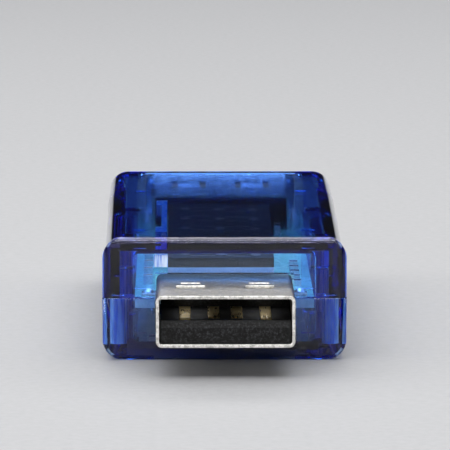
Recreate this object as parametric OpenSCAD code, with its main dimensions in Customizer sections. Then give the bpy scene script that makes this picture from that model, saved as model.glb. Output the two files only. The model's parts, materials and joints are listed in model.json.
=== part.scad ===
// USB power meter: a small in-line dongle with a plug at one end, a socket at the other and a
// four-digit display between them, in a clear blue case of two covers.
// Millimetres. +Z is up, -Y is the plug end, +Y is the socket end, +X is to the right of the plug.
// The origin is on the surface that the case rests on, half way along the overall length.

/* [Case] */
// Width of the case over its end bands
case_w = 21.5; // [21.3:0.1:22.5]
// Height of the case
case_h = 10.8; // [10.8:0.1:11.4]
// Length of the case, without the plug
case_len = 55.3; // [55.3:0.1:58]
// Thickness of the case walls
wall = 1.5; // [1.4:0.05:1.5]
// Radius of the four long edges of the case
edge_r = 1.9; // [1.6:0.1:2.2]
// Radius of the edges round the two ends of the case
end_r = 0.5; // [0.2:0.05:0.6]
// Depth of the finger recess along each side, at its front end
grip_depth = 0.24; // [0.1:0.02:0.36]
// Height of the joint between the two covers
seam_z = 5.45; // [5.4:0.01:5.45]
// Width and depth of the groove along the joint between the covers
seam_gap = 0.12; // [0.05:0.01:0.2]
// Depth of the shallow channel in the front face around the plug
channel_depth = 0.25; // [0.1:0.05:0.4]

/* [Plug] */
// Width of the plug's metal shell
plug_w = 12.0; // [12:0.1:12]
// Height of the plug's metal shell
plug_h = 4.5; // [4.5:0.1:4.5]
// Length of plug that stands out of the case
plug_reach = 11.7; // [11.7:0.1:12.4]
// Height of the underside of the plug above the surface
plug_z = 2.7; // [2.7:0.05:2.75]

/* [Socket] */
// Width of the opening in the socket's shell
socket_w = 12.5; // [12.5:0.05:12.6]
// Height of the opening in the socket's shell
socket_h = 5.12; // [5.12:0.01:5.2]
// Depth of the socket's shell
socket_len = 13.7; // [13.5:0.1:13.9]
// Height of the middle of the socket above the surface
socket_z = 5.8; // [5.75:0.01:5.8]

/* [Board and display] */
// Thickness of the circuit board
board_t = 1.0; // [1:0.05:1]
// Width of the circuit board
board_w = 15.8; // [15.6:0.1:15.9]
// Length of the display
display_len = 30.0; // [29.6:0.1:30]
// Width of the display
display_w = 9.4; // [9.2:0.1:9.6]
// Height of the display above the board
display_h = 3.15; // [3:0.05:3.3]
// Slant of the digits in degrees
digit_slant = 8; // [0:1:10]

/* [Hidden] */
$fn = 40;

// Colours
clear_blue = [0.05, 0.16, 0.62, 0.5];
board_green = [0.05, 0.42, 0.22];
nickel = [0.78, 0.76, 0.71];
socket_metal = [0.74, 0.75, 0.76];
insulator_black = [0.05, 0.05, 0.055];
gold = [0.85, 0.68, 0.3];
housing_black = [0.09, 0.09, 0.1];
bar_white = [0.85, 0.8, 0.78];
resin_cream = [0.88, 0.86, 0.78];
tin = [0.8, 0.8, 0.8];
chip_black = [0.07, 0.07, 0.075];
glaze_black = [0.07, 0.07, 0.07];
tantalum_yellow = [0.85, 0.6, 0.2];
ceramic_brown = [0.62, 0.47, 0.3];
solder_grey = [0.8, 0.8, 0.79];

cut = 1;                                   // overshoot of a cutter past a face
weld = 0.2;                                // depth to which one feature is sunk into another
slice_t = 0.01;                            // thickness of an end slice of a tapered length
total_len = case_len + plug_reach;
plug_y0 = -total_len / 2;                  // mouth of the plug
case_y0 = plug_y0 + plug_reach;            // front face of the case
case_y1 = total_len / 2;                   // rear face of the case
case_mid_y = (case_y0 + case_y1) / 2;

// Case layout
cavity_half = 8.05;                        // half width of the cavity beside the joint blocks
cavity_y0 = case_y0 + wall;
cavity_y1 = case_y1 - wall;
cavity_top = case_h - wall;
wide_half = case_w / 2 - wall;             // half width of the cavity between the joint blocks
grip_y0 = case_y0 + 1.4;
grip_y1 = case_y0 + 40;
block_len = 3.0;                           // length of a joint block along the case
block_y = [cavity_y0 + block_len / 2, case_y0 + 23.5, cavity_y1 - block_len / 2];
peg_x = 9.35;
peg_r = 0.65;
peg_len = 3.0;
peg_hole_r = 0.75;
peg_hole_z = 1.2;
pad_x0 = 6.9;                              // inner side of the pads that hold the board
pad_t = 0.8;
pad_y = [case_y0 + 7.2, case_y1 - 16.9];
cavity_corner_r = 0.5;
rib_depth = 1.0;
rib_foot_len = 4;
channel_half = 6.2;
channel_top = 9.55;
plug_gap = 0.1;                            // room round the plug in the front wall
plug_headroom = 0.4;

// Plug layout
shell_t = 0.3;
plug_inside = 3.6;                         // length of plug shell inside the case
plug_y1 = case_y0 + plug_inside;
plug_top = plug_z + plug_h;
plug_floor = plug_z + shell_t;
tongue_t = 1.95;
tongue_top = plug_floor + tongue_t;
tongue_y0 = plug_y0 + 0.6;
tongue_half = 5.6;
hollow_len = 9.3;                          // depth of the space above the tongue
contact_t = 0.2;
contact_w = 1.0;
contact_x = [3.5, 1.0, -1.0, -3.5];        // power, data minus, data plus, ground
window_x = 3.0;
window_w = 2.5;
window_y = [5.16, 7.11];                   // front and rear of a window, from the mouth
slot_w = 1.7;
slot_y = [8.2, 9.0];
tab_sink = 0.1;                            // depth to which a tab is sunk into its shell
plug_tab_reach = 1.3;
plug_tab_y = [1.5, 0.2];                   // front and rear of a tab, from the shell's rear end
shell_r = 0.55;                            // outer and inner radius of the shell's corners
shell_inner_r = 0.25;
tongue_r = 0.3;
nose_h = 0.57;                             // height of the bevel on the tongue's front edge
nose_run = 0.4;                            // length of that bevel
tip_outer = 1.2;                           // from the mouth to the tips of the outer contacts
tip_inner = 2.2;
tip_dip = 0.3;                             // length over which a contact dips into the tongue
contact_bend = 2.7;                        // from the shell's rear end to where a contact turns down
contact_drop = 0.8;                        // length of the slope
contact_foot = 2;                          // length of the end that lies on the board

// Board layout
board_z1 = plug_z + plug_h / 2 + board_t / 2;
board_z0 = board_z1 - board_t;
board_y0 = cavity_y0 + 0.2;
board_y1 = cavity_y1 - 0.2;
plug_notch_half = plug_w / 2 + 0.15;
plug_notch_y = plug_y1 + 0.3;

// Socket layout
socket_y1 = case_y1 - 0.2;                 // mouth of the socket
socket_y0 = socket_y1 - socket_len;
socket_notch_half = socket_w / 2 + shell_t + 0.15;
socket_notch_y = socket_y0 - 0.3;
flange_w = 14.5;
flange_h = 6.9;
flange_gap = 0.05;                         // room round the flange in the rear wall
flange_r = 0.8;
socket_inner_z0 = socket_z - socket_h / 2;
socket_inner_z1 = socket_z + socket_h / 2;
socket_tongue_z1 = socket_inner_z1 - 0.66;
socket_tongue_z0 = socket_tongue_z1 - 1.84;
socket_tongue_half = 5.55;
socket_tongue_y1 = socket_y1 - 2.2;
socket_block_y = socket_y0 + 2.4;          // front face of the insulator's rear block
groove_w = 1.2;
groove_depth = 0.95;
pivot_y = socket_block_y + 0.3;
pivot_z = socket_tongue_z0 + 0.44;
pivot_r = 0.15;
spring_w = 2.1;
spring_slot = 0.6;                         // gap between a spring and its window
spring_x = 3.05;
spring_len = 5.4;
spring_dip = 0.65;                         // how far a spring's bend reaches into the hollow
spring_tip_len = 1.2;                      // length beyond the bend
spring_tip_rise = 0.25;
spring_window_y = socket_y1 - 1.4;         // end of the window that is nearest the mouth
spring_root_y = spring_window_y - shell_t / 2 - 0.05;
socket_shell_r = 0.5;
socket_inner_r = 0.2;
socket_tab_y = [socket_y0 + 2.5, socket_y0 + 8.5];
socket_tab_len = 2;
socket_tab_reach = 1.0;
tail_gap = 0.03;                           // gap between a contact's tail and its sprung length
tail_bend = [0.5, 0.9, 2.0];               // where a tail turns down, meets the board and ends
bump_back = 2.0;                           // from the tongue's front end to a contact's bump
bump_run = 0.9;                            // length of the slope on each side of the bump
bump_low = 0.42;                           // how far the bump stands below the tongue
groove_end = 0.6;                          // tongue left in front of each groove
socket_block_r = 0.3;
block_gap = 0.02;                          // room at each side of the insulator's rear block

// Display layout
display_x = -0.3;
display_y0 = plug_y1 + 0.4;
display_y = display_y0 + display_len / 2;
display_z1 = board_z1 + display_h;
rib_x = display_x - display_w / 2 - 0.1;   // side of the rib that faces the display
rib_t = 0.5;
rib_y0 = case_y0 + 6;
rib_y1 = case_y0 + 30.8;
display_face_t = 0.6;
display_side_t = 0.5;
digits = 4;
digit_pitch = display_len / digits;
digit_h = 7.1;
digit_w = 3.9;
bar_t = 0.85;                              // width of one bar of a digit
bar_gap = 0.12;
point_r = 0.45;
point_gap = 0.55;                          // from a digit's side to the middle of its point
digit_shift = 0.35;                        // shift of a digit that leaves room for its point
point_sink = 0.05;                         // how far the bars lie below the display's face
potting_stand = 0.2;                       // gap between the resin and the board
pin_above = 1.2;                           // length of a pin above the board
pin_r = 0.25;
pin_hole_r = 0.4;
pin_pitch = 2.54;
row_pins = 6;
pin_x = 3.81;
pin_below = 1.0;

// ---------- shared shapes ----------

// Extrudes an X-Z outline from y0 to y1.
module along_y(y0, y1) {
    translate([0, y1, 0]) rotate([90, 0, 0]) linear_extrude(height = y1 - y0) children();
}

// Extrudes a Y-Z outline over a width w, centred on x.
module along_x(x, w) {
    translate([x, 0, 0]) rotate([90, 0, 90]) linear_extrude(height = w, center = true) children();
}

// A box from one corner to the opposite one.
module block(low, high) {
    translate(low) cube(high - low);
}

// Rectangle of width w between heights z0 and z1, with round corners.
module rounded(w, z0, z1, r) {
    translate([-w / 2 + r, z0]) square([w - 2 * r, z1 - z0]);
    translate([-w / 2, z0 + r]) square([w, z1 - z0 - 2 * r]);
    for (x = [-1, 1], z = [z0 + r, z1 - r])
        translate([x * (w / 2 - r), z]) circle(r);
}

module both_sides() {
    for (side = [0, 1]) mirror([side, 0, 0]) children();
}

// Outline of a bent strip of thickness t that follows the points p.
function unit(v) = v / norm(v);
function normal_of(p, i) = let (d = unit(p[i + 1] - p[i])) [-d[1], d[0]];
function mitre(p, i) =
    let (m = normal_of(p, max(i - 1, 0)) + normal_of(p, min(i, len(p) - 2))) 2 * m / (m * m);
function strip(p, t) = concat(
    [for (i = [0 : len(p) - 1]) p[i] + mitre(p, i) * t / 2],
    [for (i = [len(p) - 1 : -1 : 0]) p[i] - mitre(p, i) * t / 2]);

// ---------- case ----------

// Both covers together as one block, drawn in by inset at the sides and the ends.
module case_block(inset) {
    wide = case_w - 2 * inset;
    intersection() {
        union() {
            along_y(case_y0, grip_y0) rounded(wide, 0, case_h, edge_r);
            hull() {
                along_y(grip_y0, grip_y0 + slice_t) rounded(wide - 2 * grip_depth, 0, case_h, edge_r);
                along_y(grip_y1 - slice_t, grip_y1) rounded(wide, 0, case_h, edge_r);
            }
            along_y(grip_y1, case_y1) rounded(wide, 0, case_h, edge_r);
        }
        translate([0, case_mid_y, 0])
            along_x(0, case_w) rounded(case_len - 2 * inset, 0, case_h, end_r);
        translate([0, case_mid_y, 0]) linear_extrude(height = case_h)
            rounded(wide, inset - case_len / 2, case_len / 2 - inset, end_r);
    }
}

module case_outside() {
    difference() {
        case_block(0);
        difference() {
            block([-case_w, case_y0 - cut, seam_z - seam_gap / 2],
                  [case_w, case_y1 + cut, seam_z + seam_gap / 2]);
            case_block(seam_gap);
        }
    }
}

// The space inside: narrow beside the joint blocks and wide between them.
module case_inside() {
    along_y(cavity_y0, cavity_y1) rounded(2 * cavity_half, wall, cavity_top, cavity_corner_r);
    for (i = [0, 1])
        block([-wide_half, block_y[i] + block_len / 2, wall],
              [wide_half, block_y[i + 1] - block_len / 2, cavity_top]);
}

module case_openings() {
    block([-plug_w / 2 - plug_gap, case_y0 - cut, plug_z - plug_gap],
          [plug_w / 2 + plug_gap, cavity_y0 + cut, plug_top + plug_headroom]);
    block([-channel_half, case_y0 - cut, -cut],
          [channel_half, case_y0 + channel_depth, channel_top]);
    block([-flange_w / 2 - flange_gap, cavity_y1 - cut, socket_z - flange_h / 2 - flange_gap],
          [flange_w / 2 + flange_gap, case_y1 + cut, cavity_top]);
}

module peg_axes() {
    both_sides() for (y = block_y) translate([peg_x, y, 0]) children();
}

// Small pads that hold the board between the covers.
module board_pads(z0, z1) {
    both_sides() for (y = pad_y)
        block([pad_x0, y - pad_t / 2, z0], [cavity_half, y + pad_t / 2, z1]);
}

// Rib beside the display, inside the top: a web with a wider foot at each end.
module display_rib() {
    z0 = cavity_top - rib_depth;
    z1 = cavity_top + weld;
    block([rib_x - rib_t, rib_y0, z0], [rib_x, rib_y1, z1]);
    for (y = [rib_y0, rib_y1 - rib_foot_len])
        block([rib_x - 2 * rib_t, y, z0], [rib_x, y + rib_foot_len, z1]);
}

module top_cover() {
    color(clear_blue) union() {
        difference() {
            intersection() {
                case_outside();
                block([-case_w, case_y0 - cut, seam_z], [case_w, case_y1 + cut, case_h + cut]);
            }
            case_inside();
            case_openings();
        }
        peg_axes() translate([0, 0, seam_z - peg_len]) cylinder(h = peg_len + 2 * weld, r = peg_r);
        board_pads(board_z1, cavity_top + weld);
        display_rib();
    }
}

module bottom_cover() {
    color(clear_blue) difference() {
        union() {
            difference() {
                intersection() {
                    case_outside();
                    block([-case_w, case_y0 - cut, -cut], [case_w, case_y1 + cut, seam_z]);
                }
                case_inside();
                case_openings();
            }
            board_pads(wall - weld, board_z0);
        }
        peg_axes() translate([0, 0, peg_hole_z]) cylinder(h = seam_z, r = peg_hole_r);
    }
}

// ---------- circuit board ----------

module pin_places() {
    for (side = [-1, 1], i = [0 : row_pins - 1])
        translate([display_x + side * pin_x, display_y + (i - (row_pins - 1) / 2) * pin_pitch, 0])
            children();
}

module circuit_board() {
    color(board_green) difference() {
        block([-board_w / 2, board_y0, board_z0], [board_w / 2, board_y1, board_z1]);
        block([-plug_notch_half, board_y0 - cut, 0], [plug_notch_half, plug_notch_y, case_h]);
        block([-socket_notch_half, socket_notch_y, 0], [socket_notch_half, board_y1 + cut, case_h]);
        pin_places() cylinder(h = case_h, r = pin_hole_r);
    }
}

// ---------- plug ----------

// Windows in the broad faces that a socket's springs drop into, and the smaller ones behind them.
module plug_windows() {
    for (side = [-1, 1]) {
        block([side * window_x - window_w / 2, plug_y0 + window_y[0], plug_z - cut],
              [side * window_x + window_w / 2, plug_y0 + window_y[1], plug_top + cut]);
        block([side * window_x - slot_w / 2, plug_y0 + slot_y[0], plug_top - 1.5 * shell_t],
              [side * window_x + slot_w / 2, plug_y0 + slot_y[1], plug_top + cut]);
    }
}

module plug_shell() {
    color(nickel) union() {
        difference() {
            along_y(plug_y0, plug_y1) difference() {
                rounded(plug_w, plug_z, plug_top, shell_r);
                rounded(plug_w - 2 * shell_t, plug_floor, plug_top - shell_t, shell_inner_r);
            }
            plug_windows();
        }
        // Side tabs that are soldered to the board
        both_sides()
            block([plug_w / 2 - tab_sink, plug_y1 - plug_tab_y[0], board_z1],
                  [plug_w / 2 + plug_tab_reach, plug_y1 - plug_tab_y[1], board_z1 + shell_t]);
    }
}

module plug_contact(i) {
    outer = i == 0 || i == 3;
    tip_y = plug_y0 + (outer ? tip_outer : tip_inner);
    bend_y = plug_y1 - contact_bend;
    top_z = tongue_top + contact_t / 10;
    solder_z = board_z0 - contact_t / 2;
    color(gold) along_x(contact_x[i], contact_w)
        polygon(strip([[tip_y, top_z - tip_dip], [tip_y + tip_dip, top_z], [bend_y, top_z],
                       [bend_y + contact_drop, solder_z],
                       [plug_notch_y + contact_foot, solder_z]], contact_t));
}

module plug_insulator() {
    color(insulator_black) difference() {
        union() {
            difference() {
                along_y(tongue_y0, plug_y1)
                    rounded(2 * tongue_half, plug_floor, tongue_top + cut, tongue_r);
                block([-cavity_half, plug_y0 - cut, tongue_top], [cavity_half, plug_y1 + cut, case_h]);
                along_x(0, 2 * cavity_half)
                    polygon([[tongue_y0 - cut, tongue_top - nose_h], [tongue_y0 - cut, tongue_top + cut],
                             [tongue_y0 + nose_run, tongue_top + cut], [tongue_y0 + nose_run, tongue_top],
                             [tongue_y0, tongue_top - nose_h]]);
            }
            along_y(plug_y0 + hollow_len, plug_y1)
                rounded(2 * tongue_half, plug_floor, plug_top - shell_t, tongue_r);
        }
        for (i = [0 : 3]) plug_contact(i);
    }
}

// ---------- socket ----------

// One sprung tongue in a broad face of the socket shell. Its root is round, about its hinge line.
// side is -1 for the left one and 1 for the right one, and face is 1 for the top and -1 for the bottom.
module socket_spring(side, face) {
    wall_z = socket_h / 2 + shell_t / 2;
    root = [spring_root_y, wall_z];
    bend = [spring_root_y - spring_len + spring_tip_len, wall_z - spring_dip];
    tip = [spring_root_y - spring_len, wall_z - spring_dip + spring_tip_rise];
    color(socket_metal) translate([side * spring_x, 0, socket_z]) mirror([0, 0, face < 0 ? 1 : 0]) {
        along_x(0, spring_w) polygon(strip([root, bend, tip], shell_t));
        translate([0, root[0], root[1]]) rotate([0, 90, 0])
            cylinder(h = spring_w, r = shell_t / 2, center = true);
    }
}

module both_faces() {
    for (face = [0, 1])
        translate([0, 0, socket_z]) mirror([0, 0, face]) translate([0, 0, -socket_z]) children();
}

module socket_shell() {
    outer_w = socket_w + 2 * shell_t;
    hole_half = spring_w / 2 + spring_slot;
    color(socket_metal) union() {
        difference() {
            union() {
                along_y(socket_y0, socket_y1)
                    rounded(outer_w, socket_inner_z0 - shell_t, socket_inner_z1 + shell_t, socket_shell_r);
                along_y(socket_y1 - shell_t, socket_y1)
                    rounded(flange_w, socket_z - flange_h / 2, socket_z + flange_h / 2, flange_r);
            }
            along_y(socket_y0 - cut, socket_y1 + cut)
                rounded(socket_w, socket_inner_z0, socket_inner_z1, socket_inner_r);
            both_faces() both_sides()
                block([spring_x - hole_half, spring_window_y - spring_len - spring_slot, socket_z],
                      [spring_x + hole_half, spring_window_y, case_h]);
        }
        // Side tabs that are soldered to the board
        both_sides() for (y = socket_tab_y)
            block([outer_w / 2 - tab_sink, y, board_z1],
                  [outer_w / 2 + socket_tab_reach, y + socket_tab_len, board_z1 + shell_t]);
    }
}

module socket_tail(i) {
    foot_z = board_z1 + contact_t / 2;
    color(gold) along_x(contact_x[i], contact_w)
        polygon(strip([[pivot_y - pivot_r - tail_gap, pivot_z], [socket_y0 - tail_bend[0], pivot_z],
                       [socket_y0 - tail_bend[1], foot_z], [socket_y0 - tail_bend[2], foot_z]],
                      contact_t));
}

module socket_contact_tails() {
    for (i = [0 : 3]) socket_tail(i);
}

// The sprung length of one contact. Its root is round, about the line that it flexes at.
module socket_contact(i) {
    bump_y = socket_tongue_y1 - bump_back;
    color(gold) union() {
        along_x(contact_x[i], contact_w)
            polygon(strip([[pivot_y, pivot_z], [bump_y - bump_run, socket_tongue_z0 - contact_t / 2],
                           [bump_y, socket_tongue_z0 - bump_low],
                           [bump_y + bump_run, socket_tongue_z0 + contact_t]], contact_t));
        translate([contact_x[i], pivot_y, pivot_z]) rotate([0, 90, 0])
            cylinder(h = contact_w, r = pivot_r, center = true);
    }
}

module socket_insulator() {
    color(insulator_black) difference() {
        union() {
            block([-socket_tongue_half, socket_block_y - weld, socket_tongue_z0],
                  [socket_tongue_half, socket_tongue_y1, socket_tongue_z1]);
            along_y(socket_y0 + shell_t, socket_block_y)
                rounded(socket_w - 2 * block_gap, socket_inner_z0, socket_inner_z1, socket_block_r);
        }
        for (i = [0 : 3]) {
            // Groove that the sprung contact moves into
            block([contact_x[i] - groove_w / 2, socket_block_y, socket_tongue_z0 - cut],
                  [contact_x[i] + groove_w / 2, socket_tongue_y1 - groove_end,
                   socket_tongue_z0 + groove_depth]);
            socket_tail(i);
        }
    }
}

// ---------- display ----------

// Outline of one bar, len long, centred, pointed at both ends.
function bar(len) = [[-len / 2, 0], [-len / 2 + bar_t / 2, bar_t / 2], [len / 2 - bar_t / 2, bar_t / 2],
                     [len / 2, 0], [len / 2 - bar_t / 2, -bar_t / 2], [-len / 2 + bar_t / 2, -bar_t / 2]];
function upright(p) = [for (q = p) [-q[1], q[0]]];
function moved(p, by) = [for (q = p) q + by];
function slanted(p) = [for (q = p) [q[0] + q[1] * tan(digit_slant), q[1]]];

bar_long = digit_w - bar_t - 2 * bar_gap;
bar_tall = digit_h / 2 - bar_t / 2 - 2 * bar_gap;
bar_side = (digit_w - bar_t) / 2;
bar_mid = (digit_h - bar_t) / 4;

// The seven bars of a digit, about its middle.
bars = concat(
    [for (v = [-2, 0, 2]) slanted(moved(bar(bar_long), [0, v * bar_mid]))],
    [for (u = [-1, 1], v = [-1, 1]) slanted(moved(upright(bar(bar_tall)), [u * bar_side, v * bar_mid]))]);

// Bars and points of all digits, between two heights. The digits read from the plug to the socket.
module digit_shapes(z0, z1) {
    for (d = [0 : digits - 1])
        translate([display_x, display_y0 + (d + 0.5) * digit_pitch - digit_shift, z0])
            rotate([0, 0, 90]) {
                for (b = bars) linear_extrude(height = z1 - z0) polygon(b);
                translate([digit_w / 2 + point_gap, -digit_h / 2 + bar_t / 2, 0])
                    cylinder(h = z1 - z0, r = point_r);
            }
}

module display_body() {
    x0 = display_x - display_w / 2;
    x1 = display_x + display_w / 2;
    y1 = display_y0 + display_len;
    color(housing_black) difference() {
        block([x0, display_y0, board_z1], [x1, y1, display_z1]);
        block([x0 + display_side_t, display_y0 + display_side_t, board_z1 - cut],
              [x1 - display_side_t, y1 - display_side_t, display_z1 - display_face_t]);
        digit_shapes(display_z1 - display_face_t - cut, display_z1 + cut);
    }
}

module display_segments() {
    color(bar_white) digit_shapes(display_z1 - display_face_t, display_z1 - point_sink);
}

module display_potting() {
    color(resin_cream) difference() {
        block([display_x - display_w / 2 + display_side_t, display_y0 + display_side_t,
               board_z1 + potting_stand],
              [display_x + display_w / 2 - display_side_t, display_y0 + display_len - display_side_t,
               display_z1 - display_face_t]);
        display_pins();
    }
}

module display_pins() {
    color(tin) pin_places()
        translate([0, 0, board_z0 - pin_below])
            cylinder(h = board_t + pin_below + pin_above, r = pin_r);
}

// ---------- parts on the board ----------

// Each gull-wing lead leaves its body at lead_z, drops, and ends flat on the board.
chip_stand = 0.1;                          // gap between a chip's body and the board
lead_t = 0.15;
lead_sink = 0.2;
lead_z = board_z0 - 0.55;
lead_foot_z = board_z0 - lead_t / 2;
dimple_r = 0.3;
tab_t = 0.35;
reg_lead = [1.0, 0.48];
reg_pitch = 1.5;
reg_tab = [0.6, 1.7];

// Row of n gull-wing leads at a pitch along Y, on both sides of a body under the board.
module leads_below(x, y, body_w, n, pitch, lead_w, reach) {
    half = body_w / 2;
    for (side = [-1, 1], i = [0 : n - 1])
        translate([x, y + (i - (n - 1) / 2) * pitch, 0]) mirror([side < 0 ? 1 : 0, 0, 0])
            rotate([90, 0, 0]) linear_extrude(height = lead_w, center = true)
                polygon(strip([[half - lead_sink, lead_z], [half + reach * 0.35, lead_z],
                               [half + reach * 0.5, lead_foot_z], [half + reach, lead_foot_z]], lead_t));
}

// Body of thickness t under the board, with a gap above it.
module body_below(x, y, w, len, t, gap) {
    translate([x - w / 2, y - len / 2, board_z0 - gap - t]) cube([w, len, t]);
}

// Place, width, length and thickness of each chip
rear_row_y = 14.6;                         // middle of the space between the display and the socket
mcu = [display_x, display_y, 4.4, 6.5, 1.0];
amp = [display_x, display_y + 8.6, 1.6, 2.9, 1.1];
reg = [-2.6, rear_row_y, 2.5, 4.5, 1.5];

module microcontroller_leads() {
    color(tin) leads_below(mcu[0], mcu[1], mcu[2], n = 10, pitch = 0.65, lead_w = 0.25, reach = 0.95);
}

module microcontroller() {
    color(chip_black) difference() {
        body_below(mcu[0], mcu[1], mcu[2], mcu[3], mcu[4], chip_stand);
        microcontroller_leads();
        // Dimple beside the first lead
        translate([mcu[0] - mcu[2] / 3, mcu[1] - mcu[3] / 2.6, board_z0 - chip_stand - mcu[4]])
            cylinder(h = 0.2, r = dimple_r, center = true);
    }
}

module sense_amplifier_leads() {
    color(tin) leads_below(amp[0], amp[1], amp[2], n = 3, pitch = 0.95, lead_w = 0.4, reach = 0.65);
}

module sense_amplifier() {
    color(chip_black) difference() {
        body_below(amp[0], amp[1], amp[2], amp[3], amp[4], chip_stand);
        sense_amplifier_leads();
    }
}

module voltage_regulator_leads() {
    color(tin) {
        for (i = [-1 : 1])
            body_below(reg[0] + (reg[2] + reg_lead[0]) / 2, reg[1] + i * reg_pitch,
                       reg_lead[0], reg_lead[1], tab_t, 0);
        // Cooling tab
        body_below(reg[0] - (reg[2] + reg_tab[0]) / 2, reg[1], reg_tab[0], reg_tab[1], tab_t, 0);
    }
}

module voltage_regulator() {
    color(chip_black) body_below(reg[0], reg[1], reg[2], reg[3], reg[4], 0);
}

// A two-ended chip: the body between its end caps, or the end caps. Its length lies along X,
// or along Y if turned, and it stands on the board's top or hangs under the board.
module chip_body(at, size, end, top, turned) {
    z = top ? board_z1 : board_z0 - size[2];
    translate([at[0], at[1], z]) rotate([0, 0, turned ? 90 : 0])
        translate([-size[0] / 2 + end, -size[1] / 2, 0]) cube([size[0] - 2 * end, size[1], size[2]]);
}

module chip_ends(at, size, end, top, turned) {
    z = top ? board_z1 : board_z0 - size[2];
    translate([at[0], at[1], z]) rotate([0, 0, turned ? 90 : 0])
        for (x = [-size[0] / 2, size[0] / 2 - end])
            translate([x, -size[1] / 2, 0]) cube([end, size[1], size[2]]);
}

shunt_at = [2.4, rear_row_y];
shunt_size = [6.3, 3.2, 0.6];
shunt_end = 0.6;
bulk_at = [-4.4, rear_row_y];
bulk_size = [3.2, 1.6, 1.6];
bulk_end = 0.4;
chip_size = [1.6, 0.8, 0.45];
cap_size = [1.6, 0.8, 0.8];
chip_end = 0.3;

// Resistors: one row beside the display on top, and one row under each side of the board.
resistor_places = concat(
    [for (i = [-2 : 2]) [[6.5, display_y - 2.2 + i * 3.4], true]],
    [for (side = [-1, 1], i = [-2 : 1]) [[side * 6.4, display_y + i * 4.2], false]]);

// Capacitors: a row on top on the other side of the display, and two under the board.
capacitor_places = concat(
    [for (i = [-2 : 1]) [[-6.8, display_y + 2.4 + i * 5.2], true]],
    [for (i = [-1, 1]) [[2.6, rear_row_y + i * 1.3], false]]);

module shunt_resistor() {
    color(glaze_black) chip_body(shunt_at, shunt_size, shunt_end, true, false);
}

module shunt_terminals() {
    color(tin) chip_ends(shunt_at, shunt_size, shunt_end, true, false);
}

module bulk_capacitor() {
    color(tantalum_yellow) chip_body(bulk_at, bulk_size, bulk_end, true, true);
}

module bulk_capacitor_terminals() {
    color(tin) chip_ends(bulk_at, bulk_size, bulk_end, true, true);
}

module chip_capacitors() {
    color(ceramic_brown) for (p = capacitor_places) chip_body(p[0], cap_size, chip_end, p[1], true);
}

module chip_capacitor_ends() {
    color(tin) for (p = capacitor_places) chip_ends(p[0], cap_size, chip_end, p[1], true);
}

module chip_resistors() {
    color(glaze_black) for (p = resistor_places) chip_body(p[0], chip_size, chip_end, p[1], true);
}

module chip_resistor_ends() {
    color(tin) for (p = resistor_places) chip_ends(p[0], chip_size, chip_end, p[1], true);
}

// ---------- solder ----------

plug_dome_r = 0.5;
socket_dome_r = 0.45;
dome_sink = 0.3;                           // how far a dome's centre lies below its foot, in radii
cone_h = 0.6;
cone_r = [0.3, 0.65];

// A low dome of solder on a flat surface at height z.
module dome(x, y, z, r) {
    translate([x, y, z]) intersection() {
        translate([0, 0, -r * dome_sink]) sphere(r);
        translate([-r, -r, 0]) cube([2 * r, 2 * r, r]);
    }
}

module plug_solder() {
    color(solder_grey) both_sides()
        dome((plug_w + plug_tab_reach) / 2, plug_y1 - (plug_tab_y[0] + plug_tab_y[1]) / 2,
             board_z1 + shell_t, plug_dome_r);
}

module socket_solder() {
    color(solder_grey) both_sides() for (y = socket_tab_y)
        dome(socket_w / 2 + shell_t + socket_tab_reach / 2, y + socket_tab_len / 2,
             board_z1 + shell_t, socket_dome_r);
}

// Cones of solder round the display's pins under the board.
module pin_solder() {
    color(solder_grey) difference() {
        pin_places() translate([0, 0, board_z0 - cone_h])
            cylinder(h = cone_h, r1 = cone_r[0], r2 = cone_r[1]);
        display_pins();
    }
}

top_cover();
bottom_cover();
circuit_board();
plug_shell();
plug_insulator();
plug_contact(0);  // plug_contact_power
plug_contact(1);  // plug_contact_data_minus
plug_contact(2);  // plug_contact_data_plus
plug_contact(3);  // plug_contact_ground
socket_shell();
socket_insulator();
socket_contact_tails();
socket_contact(0);  // socket_contact_power
socket_contact(1);  // socket_contact_data_minus
socket_contact(2);  // socket_contact_data_plus
socket_contact(3);  // socket_contact_ground
socket_spring(-1, 1);  // socket_spring_top_left
socket_spring(1, 1);  // socket_spring_top_right
socket_spring(-1, -1);  // socket_spring_bottom_left
socket_spring(1, -1);  // socket_spring_bottom_right
display_body();
display_segments();
display_potting();
display_pins();
microcontroller();
microcontroller_leads();
sense_amplifier();
sense_amplifier_leads();
voltage_regulator();
voltage_regulator_leads();
shunt_resistor();
shunt_terminals();
bulk_capacitor();
bulk_capacitor_terminals();
chip_capacitors();
chip_capacitor_ends();
chip_resistors();
chip_resistor_ends();
plug_solder();
socket_solder();
pin_solder();
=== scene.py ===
"""Looks of the USB power meter: clear blue covers over its board, display, plug and socket."""
import json
import math

import bmesh
import bpy
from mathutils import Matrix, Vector


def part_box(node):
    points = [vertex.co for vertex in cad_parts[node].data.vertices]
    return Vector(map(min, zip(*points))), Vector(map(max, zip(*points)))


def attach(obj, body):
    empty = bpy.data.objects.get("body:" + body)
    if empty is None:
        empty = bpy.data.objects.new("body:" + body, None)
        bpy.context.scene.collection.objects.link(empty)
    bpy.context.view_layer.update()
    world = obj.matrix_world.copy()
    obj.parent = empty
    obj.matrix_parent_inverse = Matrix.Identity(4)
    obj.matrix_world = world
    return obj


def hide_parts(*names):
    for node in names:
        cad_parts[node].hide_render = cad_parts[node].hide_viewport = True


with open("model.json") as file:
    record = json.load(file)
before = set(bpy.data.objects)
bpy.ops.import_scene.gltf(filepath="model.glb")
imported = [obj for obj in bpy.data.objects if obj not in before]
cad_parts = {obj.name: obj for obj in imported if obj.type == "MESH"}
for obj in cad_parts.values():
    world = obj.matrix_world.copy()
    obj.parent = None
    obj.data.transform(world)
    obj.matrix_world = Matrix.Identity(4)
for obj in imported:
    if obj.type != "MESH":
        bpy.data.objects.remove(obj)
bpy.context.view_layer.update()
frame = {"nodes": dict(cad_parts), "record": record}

MM = 0.001
BODY = "meter"
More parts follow.
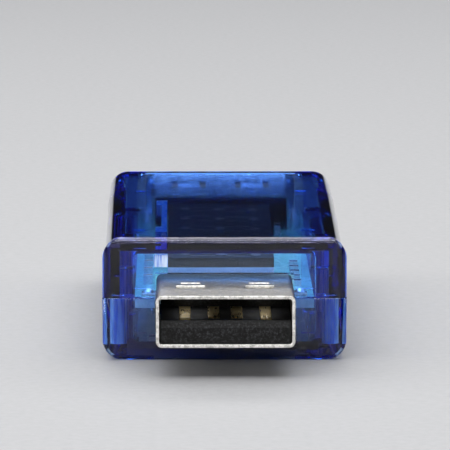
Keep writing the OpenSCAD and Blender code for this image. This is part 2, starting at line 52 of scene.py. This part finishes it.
scene = bpy.context.scene


# ---------- node helpers ----------

MIX_A, MIX_B, MIX_RESULT = 6, 7, 2         # the Mix node's colour sockets


class Nodes:
    """One material's node tree, with a short way to add and link nodes."""

    def __init__(self, name):
        self.material = bpy.data.materials.new(name)
        self.material.use_nodes = True
        self.tree = self.material.node_tree
        self.tree.nodes.clear()
        self.output = self.tree.nodes.new("ShaderNodeOutputMaterial")
        self.bsdf = self.tree.nodes.new("ShaderNodeBsdfPrincipled")
        self.link(self.bsdf, "BSDF", self.output, "Surface")
        self.coords = self.tree.nodes.new("ShaderNodeTexCoord")

    def link(self, source, output, target, socket):
        self.tree.links.new(source.outputs[output], target.inputs[socket])

    def feed(self, output, socket):
        """Links an output straight to one of the shader's sockets."""
        self.tree.links.new(output, self.bsdf.inputs[socket])

    def set(self, **values):
        for name, value in values.items():
            self.bsdf.inputs[name.replace("_", " ")].default_value = value

    def add(self, kind, **settings):
        node = self.tree.nodes.new(kind)
        for name, value in settings.items():
            if name in node.inputs:
                node.inputs[name].default_value = value
            else:
                setattr(node, name, value)
        return node

    def noise(self, scale, detail=4.0, roughness=0.55, stretch=None):
        """Noise with so many cells per millimetre."""
        node = self.add("ShaderNodeTexNoise", Scale=scale / MM, Detail=detail, Roughness=roughness)
        source = self.coords
        if stretch:
            mapping = self.add("ShaderNodeMapping", Scale=stretch)
            self.link(source, "Object", mapping, "Vector")
            self.link(mapping, "Vector", node, "Vector")
        else:
            self.link(source, "Object", node, "Vector")
        return node

    def math(self, operation, first, second=0.0):
        """A Math node; each operand is a number or an output socket."""
        node = self.add("ShaderNodeMath", operation=operation)
        for socket, value in zip(node.inputs, (first, second)):
            if isinstance(value, (int, float)):
                socket.default_value = value
            else:
                self.tree.links.new(value, socket)
        return node.outputs[0]

    def place(self):
        """The object's x, y and z, as three outputs."""
        split = self.add("ShaderNodeSeparateXYZ")
        self.link(self.coords, "Object", split, "Vector")
        return split.outputs

    def mix(self, factor, first, second):
        """Blends two colour outputs."""
        node = self.add("ShaderNodeMix", data_type="RGBA")
        self.tree.links.new(factor, node.inputs["Factor"])
        self.tree.links.new(first, node.inputs[MIX_A])
        self.tree.links.new(second, node.inputs[MIX_B])
        return node.outputs[MIX_RESULT]

    def facing(self, axis, least):
        """1 where the surface faces either way along an axis."""
        split = self.add("ShaderNodeSeparateXYZ")
        self.link(self.add("ShaderNodeNewGeometry"), "True Normal", split, "Vector")
        return self.math("GREATER_THAN", self.math("ABSOLUTE", split.outputs[axis]), least)

    def ramp(self, source, output, stops):
        """A colour ramp over (place, colour) stops."""
        node = self.add("ShaderNodeValToRGB")
        elements = node.color_ramp.elements
        while len(elements) < len(stops):
            elements.new(0.5)
        for element, (place, color) in zip(elements, stops):
            element.position = place
            element.color = (*color, 1.0)
        self.link(source, output, node, "Fac")
        return node

    def span(self, source, output, low, high):
        """Maps 0..1 to low..high."""
        node = self.add("ShaderNodeMapRange")
        node.inputs["To Min"].default_value = low
        node.inputs["To Max"].default_value = high
        self.link(source, output, node, "Value")
        return node

    def bump(self, source, output, height_mm, strength=1.0):
        node = self.add("ShaderNodeBump", Strength=strength, Distance=height_mm * MM)
        self.link(source, output, node, "Height")
        self.link(node, "Normal", self.bsdf, "Normal")


def grey(value):
    """A colour with three equal channels."""
    return value, value, value


# ---------- materials ----------

PEG_X = 9.35 * MM                          # pegs and their sockets stand in line with the side walls
PEG_FROM_END = 3.0 * MM                    # from each end of the case to the first and last pegs
PEG_MIDDLE = 23.5 * MM                     # from the front end to the middle pegs
PEG_ZONE = 0.95 * MM                       # radius within which the moulding is left unpolished
PEG_Z = (1.0 * MM, 5.4 * MM)               # bottom and top of that zone
MATT_ROUGH = 0.35                          # roughness that is added there
MATT_CLOUD = 0.6                           # share of the light that it no longer lets through
RIB_X = -5.6 * MM                          # the rib beside the display
RIB_HALF = 0.62 * MM                       # half its width
RIB_DEPTH = (1.52 * MM, 2.6 * MM)          # top and bottom of the rib, below the top face
LACQUER = 0.8 * MM                         # height of the display's black part
LACQUER_WAVE = 0.08 * MM                   # how far its lower edge wanders
TRACK_CELLS = 0.42                         # areas between copper tracks, per millimetre


def peg_rows():
    """Where the three pairs of pegs stand along the case."""
    low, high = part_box("top_cover")
    return low.y + PEG_FROM_END, low.y + PEG_MIDDLE, high.y - PEG_FROM_END


def matt_mask(n):
    """1 on the pegs, on their sockets and on the rib beside the display."""
    x, y, z = n.place()
    across = n.math("SUBTRACT", n.math("ABSOLUTE", x), PEG_X)
    gaps = [n.math("ABSOLUTE", n.math("SUBTRACT", y, row)) for row in peg_rows()]
    along = n.math("MINIMUM", n.math("MINIMUM", gaps[0], gaps[1]), gaps[2])
    radius = n.math("SQRT", n.math("ADD", n.math("POWER", across, 2.0), n.math("POWER", along, 2.0)))
    above, below = n.math("GREATER_THAN", z, PEG_Z[0]), n.math("LESS_THAN", z, PEG_Z[1])
    near_peg = n.math("MULTIPLY", n.math("LESS_THAN", radius, PEG_ZONE), n.math("MULTIPLY", above, below))
    top_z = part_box("top_cover")[1].z
    above_foot = n.math("GREATER_THAN", z, top_z - RIB_DEPTH[1])
    under_top = n.math("LESS_THAN", z, top_z - RIB_DEPTH[0])
    beside = n.math("LESS_THAN", n.math("ABSOLUTE", n.math("SUBTRACT", x, RIB_X)), RIB_HALF)
    on_rib = n.math("MULTIPLY", n.math("MULTIPLY", above_foot, under_top), beside)
    return n.math("MAXIMUM", near_peg, on_rib)


def clear_blue_plastic():
    """Polished clear plastic that darkens with depth; its pegs and their sockets are left matt."""
    n = Nodes("clear_blue_plastic")
    n.set(IOR=1.49, Specular_IOR_Level=0.45)
    ripple = n.noise(0.35, detail=2.0)
    n.bump(ripple, "Fac", 0.006, 0.35)
    matt = matt_mask(n)
    grain = n.noise(5.0, detail=3.0)
    polish = n.span(grain, "Fac", 0.0, 0.05)
    rough = n.math("ADD", polish.outputs["Result"], n.math("MULTIPLY", matt, MATT_ROUGH))
    n.feed(rough, "Roughness")
    draw = n.noise(2.6, detail=3.0, roughness=0.7, stretch=(1.0, 1.0, 0.05))
    streaks = n.ramp(draw, "Fac", [(0.44, (0.16, 0.32, 0.78)), (0.56, (0.84, 0.94, 1.0))])
    clear = n.add("ShaderNodeRGB")
    clear.outputs["Color"].default_value = (0.93, 0.96, 1.0, 1.0)
    color = n.mix(matt, clear.outputs["Color"], streaks.outputs["Color"])
    n.feed(color, "Base Color")
    clearness = n.math("SUBTRACT", 1.0, n.math("MULTIPLY", matt, MATT_CLOUD))
    n.feed(clearness, "Transmission Weight")
    volume = n.add("ShaderNodeVolumeAbsorption", Color=(0.22, 0.58, 0.943, 1.0), Density=700.0)
    n.link(volume, "Volume", n.output, "Volume")
    return n.material


def display_housing():
    """A light grey housing with a black lacquered face."""
    n = Nodes("display_housing")
    lacquer_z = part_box("display_body")[1].z - LACQUER
    z = n.place()[2]
    grain = n.noise(6.0, detail=5.0, roughness=0.65)
    edge = n.math("ADD", z, n.math("MULTIPLY", grain.outputs["Fac"], LACQUER_WAVE))
    lacquered = n.math("GREATER_THAN", edge, lacquer_z)
    face = n.ramp(grain, "Fac", [(0.3, grey(0.006)), (0.7, grey(0.014))])
    side = n.ramp(grain, "Fac", [(0.3, (0.62, 0.66, 0.70)), (0.7, (0.80, 0.84, 0.88))])
    color = n.mix(lacquered, side.outputs["Color"], face.outputs["Color"])
    n.feed(color, "Base Color")
    n.set(Specular_IOR_Level=0.2)
    rough = n.span(grain, "Fac", 0.6, 0.85)
    n.link(rough, "Result", n.bsdf, "Roughness")
    n.bump(grain, "Fac", 0.012, 0.5)
    return n.material


def plated_steel(name, tone, grain_scale, y_face_highlight, polish):
    """Satin plate on stamped steel with fine speckle and pits.

    The tones passed for the faces along Y are the dark and light tones of a highlight painted on those
    faces, such as the plug's rim and the socket's flange; polish holds the least and most roughness.
    """
    n = Nodes(name)
    n.set(Metallic=1.0)
    grain = n.noise(grain_scale, detail=4.0, roughness=0.75, stretch=(1.0, 0.35, 1.0))
    dark, light = (tuple(min(1.0, k * c) for c in tone) for k in (0.4, 2.2))
    speckle = n.ramp(grain, "Fac", [(0.36, dark), (0.5, tone), (0.64, light)])
    # Painted highlight: faces that face along Y, such as the plug's rim and the socket's flange, get their
    # own tones in place of the plate's speckle.
    painted_highlight = n.ramp(grain, "Fac", [(0.38, y_face_highlight[0]), (0.58, y_face_highlight[1])])
    color = n.mix(n.facing("Y", 0.6), speckle.outputs["Color"], painted_highlight.outputs["Color"])
    n.feed(color, "Base Color")
    rough = n.span(grain, "Fac", *polish)
    n.link(rough, "Result", n.bsdf, "Roughness")
    n.bump(grain, "Fac", 0.03, 1.0)
    return n.material


def black_insulator():
    """Glass-filled moulding: near black, with pale fibres showing on the faces cut at the gate."""
    n = Nodes("black_insulator")
    n.set(Specular_IOR_Level=0.12)
    grain = n.noise(5.0, detail=4.0, roughness=0.75)
    skin = n.ramp(grain, "Fac", [(0.3, grey(0.005)), (0.7, grey(0.012))])
    fibres = n.ramp(grain, "Fac", [(0.36, grey(0.003)), (0.52, grey(0.008)), (0.68, (0.034, 0.035, 0.038))])
    color = n.mix(n.facing("Y", 0.8), skin.outputs["Color"], fibres.outputs["Color"])
    n.feed(color, "Base Color")
    rough = n.span(grain, "Fac", 0.5, 0.75)
    n.link(rough, "Result", n.bsdf, "Roughness")
    n.bump(grain, "Fac", 0.02, 0.6)
    return n.material


def gold_plate():
    """Bright plate with fine scratches along the contacts."""
    n = Nodes("gold_plate")
    n.set(Metallic=1.0)
    cloud = n.noise(1.0, detail=4.0)
    color = n.ramp(cloud, "Fac", [(0.3, (0.86, 0.66, 0.32)), (0.7, (1.0, 0.84, 0.50))])
    n.link(color, "Color", n.bsdf, "Base Color")
    scratch = n.noise(3.0, detail=3.0, stretch=(1.0, 0.08, 1.0))
    rough = n.span(scratch, "Fac", 0.20, 0.38)
    n.link(rough, "Result", n.bsdf, "Roughness")
    n.bump(scratch, "Fac", 0.002, 0.3)
    return n.material


def green_laminate():
    """Solder resist over copper tracks on the faces, bare glass laminate at the edges."""
    n = Nodes("green_laminate")
    cells = n.add("ShaderNodeTexVoronoi", feature="DISTANCE_TO_EDGE", Scale=TRACK_CELLS / MM)
    n.link(n.coords, "Object", cells, "Vector")
    track = n.ramp(cells, "Distance", [(0.04, (1, 1, 1)), (0.06, (0, 0, 0))])
    resist = n.ramp(track, "Color", [(0.0, (0.20, 0.60, 0.46)), (1.0, (0.34, 0.76, 0.60))])
    weave = n.noise(3.0, detail=5.0)
    laminate = n.ramp(weave, "Fac", [(0.3, (0.80, 0.90, 0.80)), (0.7, (0.94, 0.98, 0.90))])
    color = n.mix(n.facing("Z", 0.5), laminate.outputs["Color"], resist.outputs["Color"])
    n.feed(color, "Base Color")
    rough = n.span(weave, "Fac", 0.2, 0.4)
    n.link(rough, "Result", n.bsdf, "Roughness")
    n.bump(track, "Color", 0.03, 0.6)
    return n.material


def moulded(name, dark, light, scale=8.0, rough=(0.45, 0.7), pit_mm=0.012, specular=0.5):
    """Fine grained opaque moulding or glaze."""
    n = Nodes(name)
    n.set(Specular_IOR_Level=specular)
    grain = n.noise(scale, detail=5.0, roughness=0.65)
    color = n.ramp(grain, "Fac", [(0.3, dark), (0.7, light)])
    n.link(color, "Color", n.bsdf, "Base Color")
    rough_map = n.span(grain, "Fac", *rough)
    n.link(rough_map, "Result", n.bsdf, "Roughness")
    n.bump(grain, "Fac", pit_mm, 0.5)
    return n.material


def tinned(name, dark, light, scale=5.0):
    """Tin or solder with a finely mottled skin."""
    n = Nodes(name)
    n.set(Metallic=1.0)
    grain = n.noise(scale, detail=5.0)
    color = n.ramp(grain, "Fac", [(0.3, dark), (0.7, light)])
    n.link(color, "Color", n.bsdf, "Base Color")
    rough = n.span(grain, "Fac", 0.2, 0.5)
    n.link(rough, "Result", n.bsdf, "Roughness")
    n.bump(grain, "Fac", 0.01, 0.5)
    return n.material


def make_materials():
    """One material for each slot of the record."""
    return {
        "clear_blue_plastic": clear_blue_plastic(),
        "green_laminate": green_laminate(),
        # The second pair of tones for each plate is a highlight painted on its faces along Y.
        "nickel_plate": plated_steel("nickel_plate", (0.098, 0.093, 0.084), 3.2,
                                     y_face_highlight=((0.37, 0.36, 0.34), (0.74, 0.72, 0.69)), polish=(0.24, 0.5)),
        "socket_plate": plated_steel("socket_plate", (0.62, 0.625, 0.63), 3.6,
                                     y_face_highlight=((0.56, 0.56, 0.55), (0.76, 0.76, 0.75)), polish=(0.14, 0.34)),
        "black_insulator": black_insulator(),
        "gold_plate": gold_plate(),
        "display_housing": display_housing(),
        "display_light_bar": moulded("display_light_bar", (0.10, 0.085, 0.085), (0.15, 0.13, 0.13), 3.0,
                                     (0.5, 0.75), specular=0.15),
        "display_resin": moulded("display_resin", (0.62, 0.60, 0.50), (0.80, 0.78, 0.68), 2.0, (0.15, 0.3)),
        "tinned_metal": tinned("tinned_metal", grey(0.55), grey(0.85)),
        "chip_plastic": moulded("chip_plastic", grey(0.02), grey(0.05), 10.0, (0.5, 0.75)),
        "capacitor_ceramic": moulded("capacitor_ceramic", (0.36, 0.24, 0.14), (0.56, 0.40, 0.26), 6.0),
        "tantalum_resin": moulded("tantalum_resin", (0.70, 0.42, 0.08), (0.86, 0.58, 0.16), 6.0),
        "resistor_glaze": moulded("resistor_glaze", grey(0.015), grey(0.04), 5.0, (0.12, 0.25)),
        "solder": tinned("solder", grey(0.6), grey(0.9), 3.0),
    }


MATERIALS = make_materials()


def slot_of(node):
    """The material slot that the record gives a CAD node."""
    return next(e["material_slot"] for e in frame["record"]["subparts"] if e["node"] == node)


def paint_nodes():
    """Gives each CAD node its slot's material."""
    for name, obj in frame["nodes"].items():
        obj.data.materials.clear()
        obj.data.materials.append(MATERIALS[slot_of(name)])


paint_nodes()


# ---------- pieces ----------

WELD = 0.0005 * MM                         # corners closer than this are joined
SHARP = 35                                 # edges that turn by more degrees than this are rounded
FLAT = 1                                   # faces that meet at fewer degrees than this become one
SAME = 0.01 * MM                           # heights closer than this are the same
SEAM_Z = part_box("bottom_cover")[1].z
SEAM_AIR = 0.02 * MM                       # half the gap between the covers
PLATE = 0.3 * MM                           # thickness of the socket's shell
SOCKET_HALF_W = 6.55 * MM                  # half the width and height of that shell over its sides
SOCKET_HALF_H = 2.86 * MM
SOCKET_CORNER = 0.5 * MM                   # radius of its corners
BEND = 0.55 * MM                           # reach of the bend between the shell and its flange
BEND_STEPS = 5
SINK = 0.03 * MM                           # how far the bend's ring is sunk into the metal


def rounded_copy(node, name, width_mm, segments=2, edit=None):
    """A copy of a CAD node with its hard edges rounded, which stands for the node."""
    mesh = frame["nodes"][node].data.copy()
    piece = bpy.data.objects.new(name, mesh)
    scene.collection.objects.link(piece)
    bm = bmesh.new()
    bm.from_mesh(mesh)
    bmesh.ops.remove_doubles(bm, verts=bm.verts, dist=WELD)
    bmesh.ops.dissolve_limit(bm, angle_limit=math.radians(FLAT), verts=bm.verts, edges=bm.edges)
    if edit:
        edit(bm)
    bm.to_mesh(mesh)
    bm.free()
    if mesh.has_custom_normals:
        with bpy.context.temp_override(object=piece, active_object=piece, selected_objects=[piece]):
            bpy.ops.mesh.customdata_custom_splitnormals_clear()
    mesh.shade_smooth()
    bevel = piece.modifiers.new("edges", "BEVEL")
    bevel.width = width_mm * MM
    bevel.segments = segments
    bevel.limit_method = "ANGLE"
    bevel.angle_limit = math.radians(SHARP)
    bevel.use_clamp_overlap = True
    even = piece.modifiers.new("normals", "WEIGHTED_NORMAL")
    even.mode = "FACE_AREA"
    even.weight = 100
    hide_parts(node)
    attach(piece, BODY)


def part_at_seam(toward):
    """Moves the face that meets the other cover by a hair, so that air lies between them."""
    def edit(bm):
        for v in bm.verts:
            if abs(v.co.z - SEAM_Z) < SAME:
                v.co.z += toward * SEAM_AIR
    return edit


def add_bend(bm):
    """Fills the corner between the socket's shell and its flange with a round bend, a closed ring.

    Each point of its profile is (out from the shell, ahead of the flange), half way between an arc
    and its chord.
    """
    low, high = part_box("socket_shell")
    middle_z, flange_y = (low.z + high.z) / 2, high.y - PLATE
    profile = []
    for step in range(BEND_STEPS + 1):
        turn = math.pi / 2 * step / BEND_STEPS
        chord = Vector((step, BEND_STEPS - step)) / BEND_STEPS
        arc = Vector((1 - math.cos(turn), 1 - math.sin(turn)))
        profile.append(BEND * chord.lerp(arc, 0.5))
    profile += [Vector((BEND, -SINK)), Vector((-SINK, -SINK)), Vector((-SINK, BEND))]
    rings = []
    for corner, (side, level) in enumerate(((1, 1), (-1, 1), (-1, -1), (1, -1))):
        for step in range(BEND_STEPS + 1):
            turn = math.pi / 2 * (corner + step / BEND_STEPS)
            x = side * (SOCKET_HALF_W - SOCKET_CORNER)
            z = middle_z + level * (SOCKET_HALF_H - SOCKET_CORNER)
            rings.append([bm.verts.new((x + (SOCKET_CORNER + out) * math.cos(turn), flange_y - ahead,
                                        z + (SOCKET_CORNER + out) * math.sin(turn)))
                          for out, ahead in profile])
    for here, there in zip(rings, rings[1:] + rings[:1]):
        for k in range(len(profile)):
            after = (k + 1) % len(profile)
            bm.faces.new((here[k], there[k], there[after], here[after]))
    bmesh.ops.recalc_face_normals(bm, faces=bm.faces)


rounded_copy("plug_shell", "plug_metal_shell", 0.11, 4)
for line in ("power", "data_minus", "data_plus", "ground"):
    rounded_copy("plug_contact_" + line, "gold_finger_" + line, 0.09, 4)
rounded_copy("socket_shell", "socket_metal_shell", 0.05, 2, edit=add_bend)
rounded_copy("top_cover", "clear_top_cover", 0.08, edit=part_at_seam(1))
rounded_copy("bottom_cover", "clear_bottom_cover", 0.08, edit=part_at_seam(-1))


# ---------- stage ----------

FLOOR_HALF = 3.0                           # half the floor's side, in metres
MIDDLE = Vector((0, 0, 0.005))             # the point that every light faces
CAMERA_ELEVATION = math.radians(6.697)
CAMERA_YAW = math.radians(0.470)
CAMERA_DISTANCE = 461.68                   # millimetres to the point it looks at, over the plug's mouth
AIM_X, AIM_Z = -0.059 * MM, 13.326 * MM    # x and z of that point
SENSOR, LENS = 36.0, 431.7                 # sensor width and focal length, in millimetres


def make_floor():
    """A plain pale floor with a faint grain."""
    half = FLOOR_HALF
    mesh = bpy.data.meshes.new("floor")
    corners = [(-half, -half, 0), (half, -half, 0), (half, half, 0), (-half, half, 0)]
    mesh.from_pydata(corners, [], [(0, 1, 2, 3)])
    floor = bpy.data.objects.new("floor", mesh)
    scene.collection.objects.link(floor)
    n = Nodes("pale_floor")
    grain = n.noise(1.2, detail=6.0, roughness=0.7)
    color = n.ramp(grain, "Fac", [(0.3, (0.135, 0.135, 0.138)), (0.7, (0.160, 0.160, 0.162))])
    n.link(color, "Color", n.bsdf, "Base Color")
    n.set(Roughness=0.7)
    mesh.materials.append(n.material)


def make_world():
    """Dim near the horizon and brighter overhead, as under a soft tent."""
    world = bpy.data.worlds.new("studio")
    scene.world = world
    world.use_nodes = True
    tree = world.node_tree
    background = tree.nodes["Background"]
    coords = tree.nodes.new("ShaderNodeTexCoord")
    split = tree.nodes.new("ShaderNodeSeparateXYZ")
    ramp = tree.nodes.new("ShaderNodeValToRGB")
    tree.links.new(coords.outputs["Generated"], split.inputs["Vector"])
    tree.links.new(split.outputs["Z"], ramp.inputs["Fac"])
    tree.links.new(ramp.outputs["Color"], background.inputs["Color"])
    low, high = ramp.color_ramp.elements
    low.position, low.color = 0.3, (0.010, 0.010, 0.012, 1.0)
    high.position, high.color = 0.9, (0.95, 0.98, 1.04, 1.0)


def area_light(name, place, size, watts):
    """A soft light that faces the middle of the object."""
    data = bpy.data.lights.new(name, "AREA")
    data.shape = "RECTANGLE"
    data.size, data.size_y = size
    data.energy = watts
    lamp = bpy.data.objects.new(name, data)
    scene.collection.objects.link(lamp)
    lamp.location = place
    lamp.rotation_euler = (MIDDLE - Vector(place)).to_track_quat("-Z", "Y").to_euler()


def make_lights():
    """Soft light from above and both sides, with strips that draw the edges of the case."""
    area_light("overhead", (-0.04, 0.02, 0.60), (1.2, 0.9), 12.0)
    area_light("edge strip", (-0.04, -0.34, 0.52), (0.7, 0.05), 1.9)
    area_light("left", (-0.50, -0.06, 0.20), (0.30, 0.35), 2.6)
    area_light("right", (0.50, 0.00, 0.20), (0.25, 0.30), 1.4)
    area_light("front", (-0.06, -0.75, 0.22), (0.5, 0.16), 2.2)
    area_light("rear strip", (0.0, 0.60, 0.36), (0.9, 0.14), 2.6)


def make_camera():
    """A long lens, low in front of the plug's mouth."""
    level = math.cos(CAMERA_ELEVATION)
    forward = Vector((math.sin(CAMERA_YAW) * level, math.cos(CAMERA_YAW) * level,
                      -math.sin(CAMERA_ELEVATION)))
    aim = Vector((AIM_X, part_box("plug_shell")[0].y, AIM_Z))
    data = bpy.data.cameras.new("camera")
    data.sensor_width = SENSOR
    data.lens = LENS
    data.clip_start, data.clip_end = 0.01, 50.0
    camera = bpy.data.objects.new("camera", data)
    scene.collection.objects.link(camera)
    camera.location = aim - forward * CAMERA_DISTANCE * MM
    camera.rotation_euler = forward.to_track_quat("-Z", "Y").to_euler()
    scene.camera = camera


def set_light_paths():
    """Enough bounces for light to pass in and out of the clear covers."""
    scene.cycles.max_bounces = 32
    scene.cycles.transmission_bounces = 32
    scene.cycles.glossy_bounces = 12
    scene.cycles.diffuse_bounces = 6
    scene.cycles.transparent_max_bounces = 16
    scene.cycles.use_denoising = True
    scene.view_settings.view_transform = "Standard"


make_floor()
make_world()
make_lights()
make_camera()
set_light_paths()
